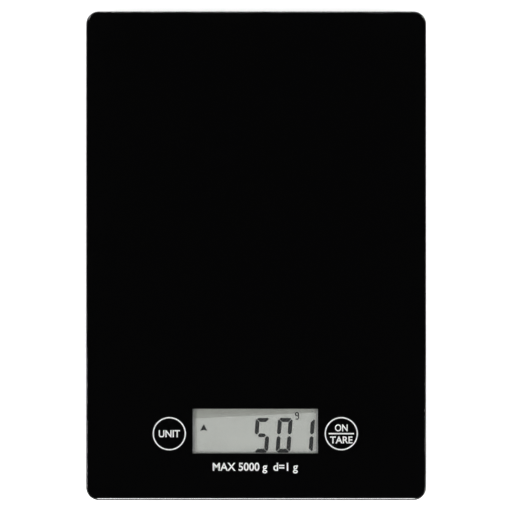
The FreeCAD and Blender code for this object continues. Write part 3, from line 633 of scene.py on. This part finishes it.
def turned(shape, width, tall, across, over):
    """The mirror image of a bar: across the figure, over its waist, or both."""
    x0, y0, x1, y1, mitres = shape
    flip_x, flip_y = (-1 if across else 1), (-1 if over else 1)

    def spot(x, y):
        return (width - x if across else x, tall - y if over else y)

    (ax, ay), (bx, by) = spot(x0, y0), spot(x1, y1)
    cuts = [(spot(*point), (away[0] * flip_x, away[1] * flip_y)) for point, away in mitres]
    return min(ax, bx), min(ay, by), max(ax, bx), max(ay, by), cuts


def unit_sign(bm, base, outer, inner):
    """A small letter g, swept like a pen stroke: a round bowl, a stem down its right side, and a hook."""
    hook_drop, hook_turn = 0.7 * outer, -2.5
    hook = base - Vector((0, hook_drop, 0))
    bowl = base + Vector((0, outer, 0))
    for centre, turn in ((bowl, math.tau), (hook, hook_turn)):
        spoke = [bm.verts.new(centre + Vector((reach, 0, 0))) for reach in (inner, outer)]
        stroke = bm.edges.new(spoke)
        bmesh.ops.spin(bm, geom=[stroke], cent=centre, axis=(0, 0, 1), angle=turn, steps=20)
    corners = ((inner, hook.y), (outer, hook.y), (outer, bowl.y), (inner, bowl.y))
    bm.faces.new([bm.verts.new((base.x + x, y, 0)) for x, y in corners])


# %% The reading, its pointer and its unit
bars_of = {"5": "afgcd", "0": "abcdef", "1": "bc"}
first_left, digits_bottom = -1.0 * mm, -10.2 * mm
lean = math.radians(4.3)
ink_thickness = 0.02 * mm
bm = bmesh.new()
for place, digit in enumerate("501"):
    left = first_left + place * digit_pitch
    figure(bm, bars_of[digit], left, digits_bottom)
leaning = Matrix(((1, math.tan(lean), 0, 0), (0, 1, 0, 0), (0, 0, 1, 0), (0, 0, 0, 1)))
foot = Matrix.Translation((0, digits_bottom, 0))
bmesh.ops.transform(bm, matrix=foot @ leaning @ foot.inverted(), verts=bm.verts)

pointer = Vector((-24.3 * mm, 1.7 * mm, 0))
pointer_half, pointer_tall, pointer_notch = 1.75 * mm, 3.3 * mm, 0.45 * mm
outline = ((-pointer_half, -pointer_tall / 2), (0, pointer_notch - pointer_tall / 2))
outline += ((pointer_half, -pointer_tall / 2), (0, pointer_tall / 2))
bm.faces.new([bm.verts.new(pointer + Vector((x, y, 0))) for x, y in outline])

sign_base = Vector((19.6 * mm, 7.0 * mm, 0))
sign_outer, sign_inner = 1.0 * mm, 0.45 * mm
unit_sign(bm, sign_base, sign_outer, sign_inner)
raised = bmesh.ops.extrude_face_region(bm, geom=bm.faces[:])["geom"]
tops = [part for part in raised if isinstance(part, bmesh.types.BMVert)]
bmesh.ops.translate(bm, vec=(0, 0, ink_thickness), verts=tops)
ink_lift = 0.015 * mm
ink_z = rear_low.z + ink_lift
bmesh.ops.translate(bm, vec=(display.x, display.y, ink_z), verts=bm.verts)
shade(bm)
piece("display_segments", bm, segment_ink, "platform")

# %% [markdown]
# ## Housing plastic and rubber
# The housing is black plastic from a lightly eroded mould: a fine even grain keeps the surface from shining.
# The feet are softer and duller. Both are noise at two scales, the fine one for the grain and the broad one
# for the slow change in colour and gloss that handling leaves.


# %% Finishes for plastic and rubber
def moulded(name, colour, roughness, grain_mm, grain_depth_mm, spread=0.25):
    """Moulded plastic or rubber: a fine grain, and a slow drift in colour and gloss."""
    finish = Finish(name)
    drift_mm = 28.0
    grain = finish.noise(grain_mm, 4.0)
    drift = finish.noise(drift_mm, 3.0)
    dark = tuple(level * (1 - spread) for level in colour)
    light = tuple(level * (1 + spread) for level in colour)
    finish.feed("Base Color", finish.mix(0.55 * grain + 0.45 * drift, dark, light))
    finish.feed("Roughness", roughness - 0.08 + 0.16 * drift)
    finish.relief(grain, grain_depth_mm, 0.7)
    return finish


# Each line gives the colour, the roughness, the size and depth of the grain in mm, and the spread of colour.
housing_black = moulded("housing_black", (0.022, 0.022, 0.024), 0.52, 0.22, 0.03)
frame_grey = moulded("frame_grey", (0.17, 0.17, 0.17), 0.55, 0.20, 0.02)
foot_rubber = moulded("foot_rubber", (0.030, 0.030, 0.031), 0.80, 0.15, 0.02)
foam_tape = moulded("foam_tape", (0.035, 0.035, 0.037), 0.95, 0.30, 0.08)
chip_resin = moulded("chip_resin", (0.010, 0.010, 0.011), 0.22, 0.60, 0.02)
resistor_body = moulded("resistor_body", (0.020, 0.020, 0.022), 0.45, 0.08, 0.01)
gauge_sealant = moulded("sealant_resin", (0.72, 0.72, 0.69), 0.35, 1.80, 0.10, 0.05)
wire_red = moulded("wire_red", (0.55, 0.020, 0.018), 0.38, 0.30, 0.01, 0.12)
wire_black = moulded("wire_black", (0.018, 0.018, 0.019), 0.38, 0.30, 0.01, 0.12)
wire_green = moulded("wire_green", (0.012, 0.25, 0.055), 0.38, 0.30, 0.01, 0.12)
wire_white = moulded("wire_white", (0.70, 0.70, 0.68), 0.38, 0.30, 0.01, 0.06)

# %% [markdown]
# ## Metals
# Rolling and brushing leave long fine scratches along one direction, so the noise is drawn out along one
# axis. It moves the roughness more than the colour. Screws have no such direction, so their grain is even.


# %% Finishes for metal
def drawn_metal(name, colour, roughness, stretch, scratch_mm=0.12, scratch_depth_mm=0.004):
    """Rolled, brushed or plated metal: scratches along one axis, and slight tarnish."""
    finish = Finish(name, metallic=1.0)
    tarnish_mm = 6.0
    scratch = finish.noise(scratch_mm, 3.0, stretch)
    tarnish = finish.noise(tarnish_mm, 4.0)
    dull = tuple(level * 0.80 for level in colour)
    finish.feed("Base Color", finish.mix(0.5 * scratch + 0.5 * tarnish, dull, colour))
    finish.feed("Roughness", roughness - 0.08 + 0.12 * scratch + 0.10 * tarnish)
    finish.relief(scratch, scratch_depth_mm, 0.5)
    return finish


along_y = (1.0, 0.03, 1.0)
along_x = (0.03, 1.0, 1.0)
even = (1.0, 1.0, 1.0)
beam_aluminium = drawn_metal("beam_aluminium", (0.80, 0.81, 0.82), 0.34, along_y)
spacer_steel = drawn_metal("spacer_steel", (0.56, 0.56, 0.57), 0.36, along_x)
screw_steel = drawn_metal("screw_steel", (0.62, 0.62, 0.63), 0.28, even, 0.30)
board_screw_steel = drawn_metal("board_screw_steel", (0.50, 0.49, 0.47), 0.30, even, 0.30)
spring_steel = drawn_metal("spring_steel", (0.66, 0.65, 0.62), 0.25, (1.0, 1.0, 0.2))
crystal_can = drawn_metal("crystal_can", (0.68, 0.68, 0.67), 0.24, along_x)
contact_metal = drawn_metal("contact_metal", (0.72, 0.70, 0.65), 0.26, along_x)
cell_steel = drawn_metal("cell_steel", (0.74, 0.73, 0.71), 0.24, along_x, 0.10)

# %% [markdown]
# ## Board, chips, gauges and connector
# These pieces need a pattern that says what they are: copper tracks that show through the green mask, bright
# caps on the ends of the chips, the foil grid of a strain gauge, and the black and pink layers of the
# elastomer connector. Each pattern steps from one colour to the other with no blend, so it stays sharp
# however near it is seen.

# %% Board laminate with tracks under the mask
board_laminate = Finish("board_laminate", roughness=0.32, coat_weight=0.3)
weave = board_laminate.noise(0.5, 2.0)
pattern_size = 9.0 * mm
layout = {"Scale": 1.0 / pattern_size, "Mortar Size": 0.035, "Mortar Smooth": 0.0, "Row Height": 0.28}
brick = {"offset": 0.5, "squash": 1.0}
tracks = board_laminate.node("ShaderNodeTexBrick", brick, {"Vector": board_laminate.place, **layout}, "Fac")
mask_colour = board_laminate.mix(weave, (0.008, 0.105, 0.040), (0.012, 0.140, 0.052))
board_laminate.feed("Base Color", board_laminate.mix(tracks, mask_colour, (0.035, 0.260, 0.085)))
board_laminate.relief(tracks, 0.03, 0.8)


# %% Chips with bright solder caps
def capped(name, node, colour, cap_mm):
    """A row of ceramic chips whose two ends, along Y, are tinned."""
    finish = Finish(name)
    bottom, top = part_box(node)
    y = finish.along("Y")
    ends = (y < bottom.y + cap_mm * mm) + (y > top.y - cap_mm * mm)
    speck = finish.noise(0.2, 3.0)
    body = finish.mix(speck, tuple(0.85 * level for level in colour), colour)
    finish.feed("Base Color", finish.mix(ends, body, (0.68, 0.67, 0.64)))
    finish.feed("Metallic", ends)
    finish.feed("Roughness", 0.55 - 0.25 * ends)
    finish.relief(speck, 0.01, 0.5)
    return finish


capacitor_body = capped("capacitor_body", "board_capacitors", (0.36, 0.25, 0.14), 0.6)
resistor_body = capped("resistor_body", "board_resistors", (0.018, 0.018, 0.020), 0.4)


# %% Gauge foil and elastomer connector
def stripes(finish, length_mm):
    """Even bands across X, as a share that is 0 or 1. About 3.2 bands with their gaps fill the length."""
    values = {"Vector": finish.place, "Scale": 1.0 / (length_mm * mm)}
    return finish.node("ShaderNodeTexWave", {"bands_direction": "X"}, values, "Fac") > 0.5


gauge_foil = Finish("gauge_foil", roughness=0.4)
lines = stripes(gauge_foil, 1.2)
gauge_foil.feed("Base Color", gauge_foil.mix(lines, (0.52, 0.27, 0.05), (0.60, 0.55, 0.45)))
gauge_foil.feed("Metallic", lines)

zebra_rubber = Finish("zebra_rubber", roughness=0.6)
layers = stripes(zebra_rubber, 2.0)
zebra_rubber.feed("Base Color", zebra_rubber.mix(layers, (0.55, 0.25, 0.27), (0.02, 0.02, 0.02)))

# %% [markdown]
# ## Dressing the CAD pieces
# Pieces whose shape is already right keep it and take a finish on their slots.

# %% Finishes on the CAD nodes
dress = {
    "legend_print": white_enamel, "adhesive_tape": foam_tape, "platform_tray": housing_black,
    "tray_beam_spacer": spacer_steel, "tray_beam_screws": screw_steel, "lcd_reflector": reflector_film,
    "lcd_frame": frame_grey, "zebra_strip": zebra_rubber, "circuit_board": board_laminate,
    "board_screws": board_screw_steel, "controller_chip": chip_resin, "board_capacitors": capacitor_body,
    "board_resistors": resistor_body, "crystal": crystal_can, "touch_spring_unit": spring_steel,
    "touch_spring_tare": spring_steel, "base_shell": housing_black, "base_beam_spacer": spacer_steel,
    "base_beam_screws": screw_steel, "coin_cell": cell_steel, "battery_contact_positive": contact_metal,
    "battery_contact_negative": contact_metal, "foot_front_left": foot_rubber,
    "foot_front_right": foot_rubber, "foot_rear_left": foot_rubber, "foot_rear_right": foot_rubber,
    "battery_door": housing_black, "battery_door_latch": housing_black,
}
for name, finish in dress.items():
    slots = nodes[name].data.materials
    slots.clear()
    slots.append(finish.material)
print(len(dress), "CAD pieces dressed")

# %% [markdown]
# ## The beam, cut across in steps
# One end of the beam is screwed to the base and the other to the platform, so it must follow both. Copies of
# the beam, its gauges and its sealant are cut across at close steps, and the leads of the gauges and the
# battery at longer steps along their length.


# %% Pieces that stretch between base and platform
def flexing(name, node, finish, step):
    """A copy of a CAD piece, cut across along Y at close steps, with no body of its own."""
    bm = bmesh.new()
    bm.from_mesh(nodes[node].data)
    bmesh.ops.remove_doubles(bm, verts=bm.verts, dist=weld_reach)
    bottom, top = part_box(node)
    cuts = int((top.y - bottom.y) / step)
    for place in range(1, cuts):
        y = bottom.y + place * (top.y - bottom.y) / cuts
        slice_at(bm, (0, y, 0), (0, 1, 0))
    crease(bm)
    made = piece(name, bm, finish, None, [node])
    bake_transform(made)


bending = (
    ("load_beam", "load_cell", beam_aluminium, "beam_aluminium", 2.5 * mm),
    ("gauge_foils", "strain_gauges", gauge_foil, "gauge_foil", 3.0 * mm),
    ("gauge_sealant_pads", "gauge_sealant", gauge_sealant, "sealant_resin", 3.0 * mm),
)
for name, node, finish, slot, step in bending:
    flexing(name, node, finish, step)

lead_finish = {"red": wire_red, "black": wire_black, "green": wire_green, "white": wire_white}
leads = {"gauge_wire_": ("red", "black", "green", "white"), "battery_wire_": ("red", "black")}
lead_step = 6.0 * mm
for kind, colours in leads.items():
    for colour in colours:
        node = kind + colour
        slot = "wire_" + colour
        flexing(node.replace("wire", "lead"), node, lead_finish[colour], lead_step)
